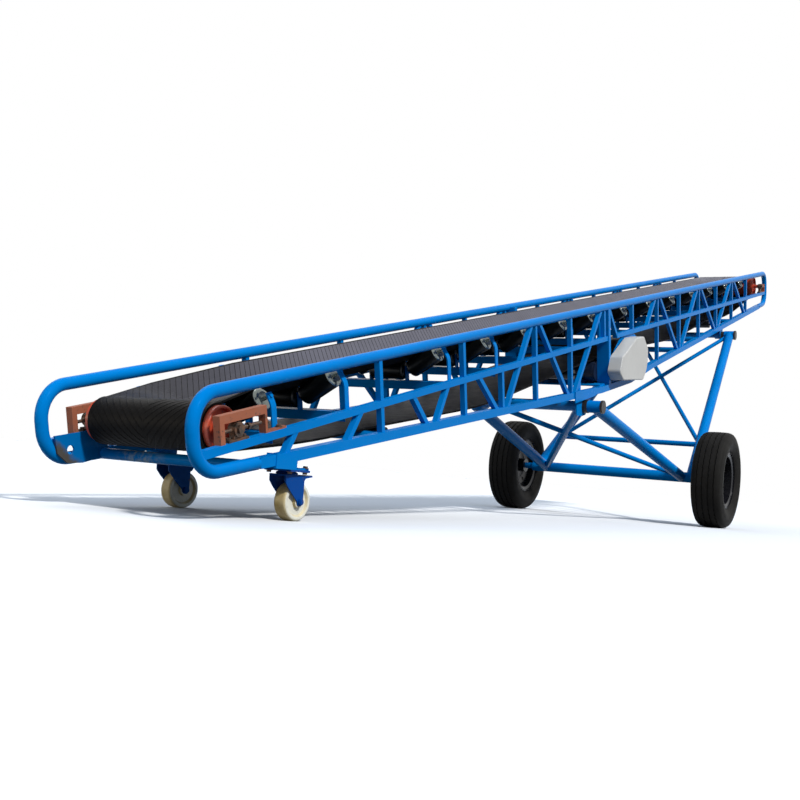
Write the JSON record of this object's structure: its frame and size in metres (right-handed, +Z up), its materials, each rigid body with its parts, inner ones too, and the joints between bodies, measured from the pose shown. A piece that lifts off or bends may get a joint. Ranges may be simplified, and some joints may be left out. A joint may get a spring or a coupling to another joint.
{
  "type": "mobile belt conveyor",
  "caption": "Inclined troughed belt conveyor on a tubular truss, with road wheels on braced legs and swivel castors at the feed end.",
  "frame": {"origin": "on the floor, under the middle of the machine's length and width", "axes": "+X level, from the feed end towards the raised discharge end; +Y across, away from the chain cover's side; +Z up"},
  "size_m": [8.8794, 1.809, 2.5866],
  "materials": {
    "frame_blue": "gloss azure enamel",
    "castor_blue": "dark blue enamel",
    "tyre": "matte",
    "rim_black": "satin black",
    "nylon": "cast nylon",
    "belt_rubber": "ribbed rubber",
    "roller_steel": "blue enamel, worn bright",
    "drum_orange": "orange primer",
    "drum_lagging": "rubber lagging",
    "primer_red": "red-brown primer",
    "guard_grey": "light grey enamel",
    "motor_blue": "blue enamel",
    "pivot_steel": "dark, rusted"
  },
  "bodies": {
    "frame": {"side_rail_near": "frame_blue", "side_rail_far": "frame_blue", "mid_chord_near": "frame_blue", "mid_chord_far": "frame_blue", "bottom_chord_near": "frame_blue", "bottom_chord_far": "frame_blue", "web_near": "frame_blue", "web_far": "frame_blue", "cross_tubes": "frame_blue", "tail_gusset": "frame_blue", "drive_uprights": "frame_blue", "idler_bases": "frame_blue", "idler_brackets": "frame_blue", "idler_rollers": "roller_steel", "belt": "belt_rubber", "tail_drum": "drum_orange", "head_drum": "drum_orange", "drum_bearings": "primer_red", "tail_take_up": "primer_red", "head_take_up": "primer_red", "return_rollers": "roller_steel", "return_hangers": "frame_blue", "snub_rollers": "roller_steel", "drive_drum": "drum_lagging", "drive_plates": "frame_blue", "drive_motor": "motor_blue", "motor_base": "frame_blue", "chain_cover": "guard_grey", "lower_pivot": "pivot_steel", "upper_pivot": "pivot_steel", "lower_lugs": "frame_blue", "upper_lugs": "frame_blue", "lower_leg_near": "frame_blue", "lower_leg_far": "frame_blue", "upper_leg_near": "frame_blue", "upper_leg_far": "frame_blue", "axle_beam": "frame_blue", "front_braces": "frame_blue", "rear_braces": "frame_blue", "castor_mounts": "frame_blue", "castor_plates": "castor_blue"},
    "wheel_near": {"tyre_near": "tyre", "rim_near": "rim_black"},
    "castor_near": {"castor_fork_near": "castor_blue"},
    "castor_roll_near": {"castor_wheel_near": "nylon"},
    "wheel_far": {"tyre_far": "tyre", "rim_far": "rim_black"},
    "castor_far": {"castor_fork_far": "castor_blue"},
    "castor_roll_far": {"castor_wheel_far": "nylon"}
  },
  "joints": [
    {"name": "road_wheel_near", "type": "hinge", "parent": "frame", "child": "wheel_near", "pos_m": [0.91436, -0.7915, 0.35], "axis": [0, 1, 0], "continuous": true},
    {"name": "castor_swivel_near", "type": "hinge", "parent": "frame", "child": "castor_near", "pos_m": [-3.7634, -0.2754, 0.196], "axis": [0, 0, 1], "continuous": true},
    {"name": "castor_wheel_turn_near", "type": "hinge", "parent": "castor_near", "child": "castor_roll_near", "pos_m": [-3.71964, -0.28, 0.075], "axis": [0.1045, 0.9945, 0], "continuous": true},
    {"name": "road_wheel_far", "type": "hinge", "parent": "frame", "child": "wheel_far", "pos_m": [0.91436, 0.7915, 0.35], "axis": [0, 1, 0], "continuous": true},
    {"name": "castor_swivel_far", "type": "hinge", "parent": "frame", "child": "castor_far", "pos_m": [-3.76283, 0.2884, 0.196], "axis": [0, 0, 1], "continuous": true},
    {"name": "castor_wheel_turn_far", "type": "hinge", "parent": "castor_far", "child": "castor_roll_far", "pos_m": [-3.71964, 0.28, 0.075], "axis": [0.1908, 0.9816, 0], "continuous": true}
  ]
}
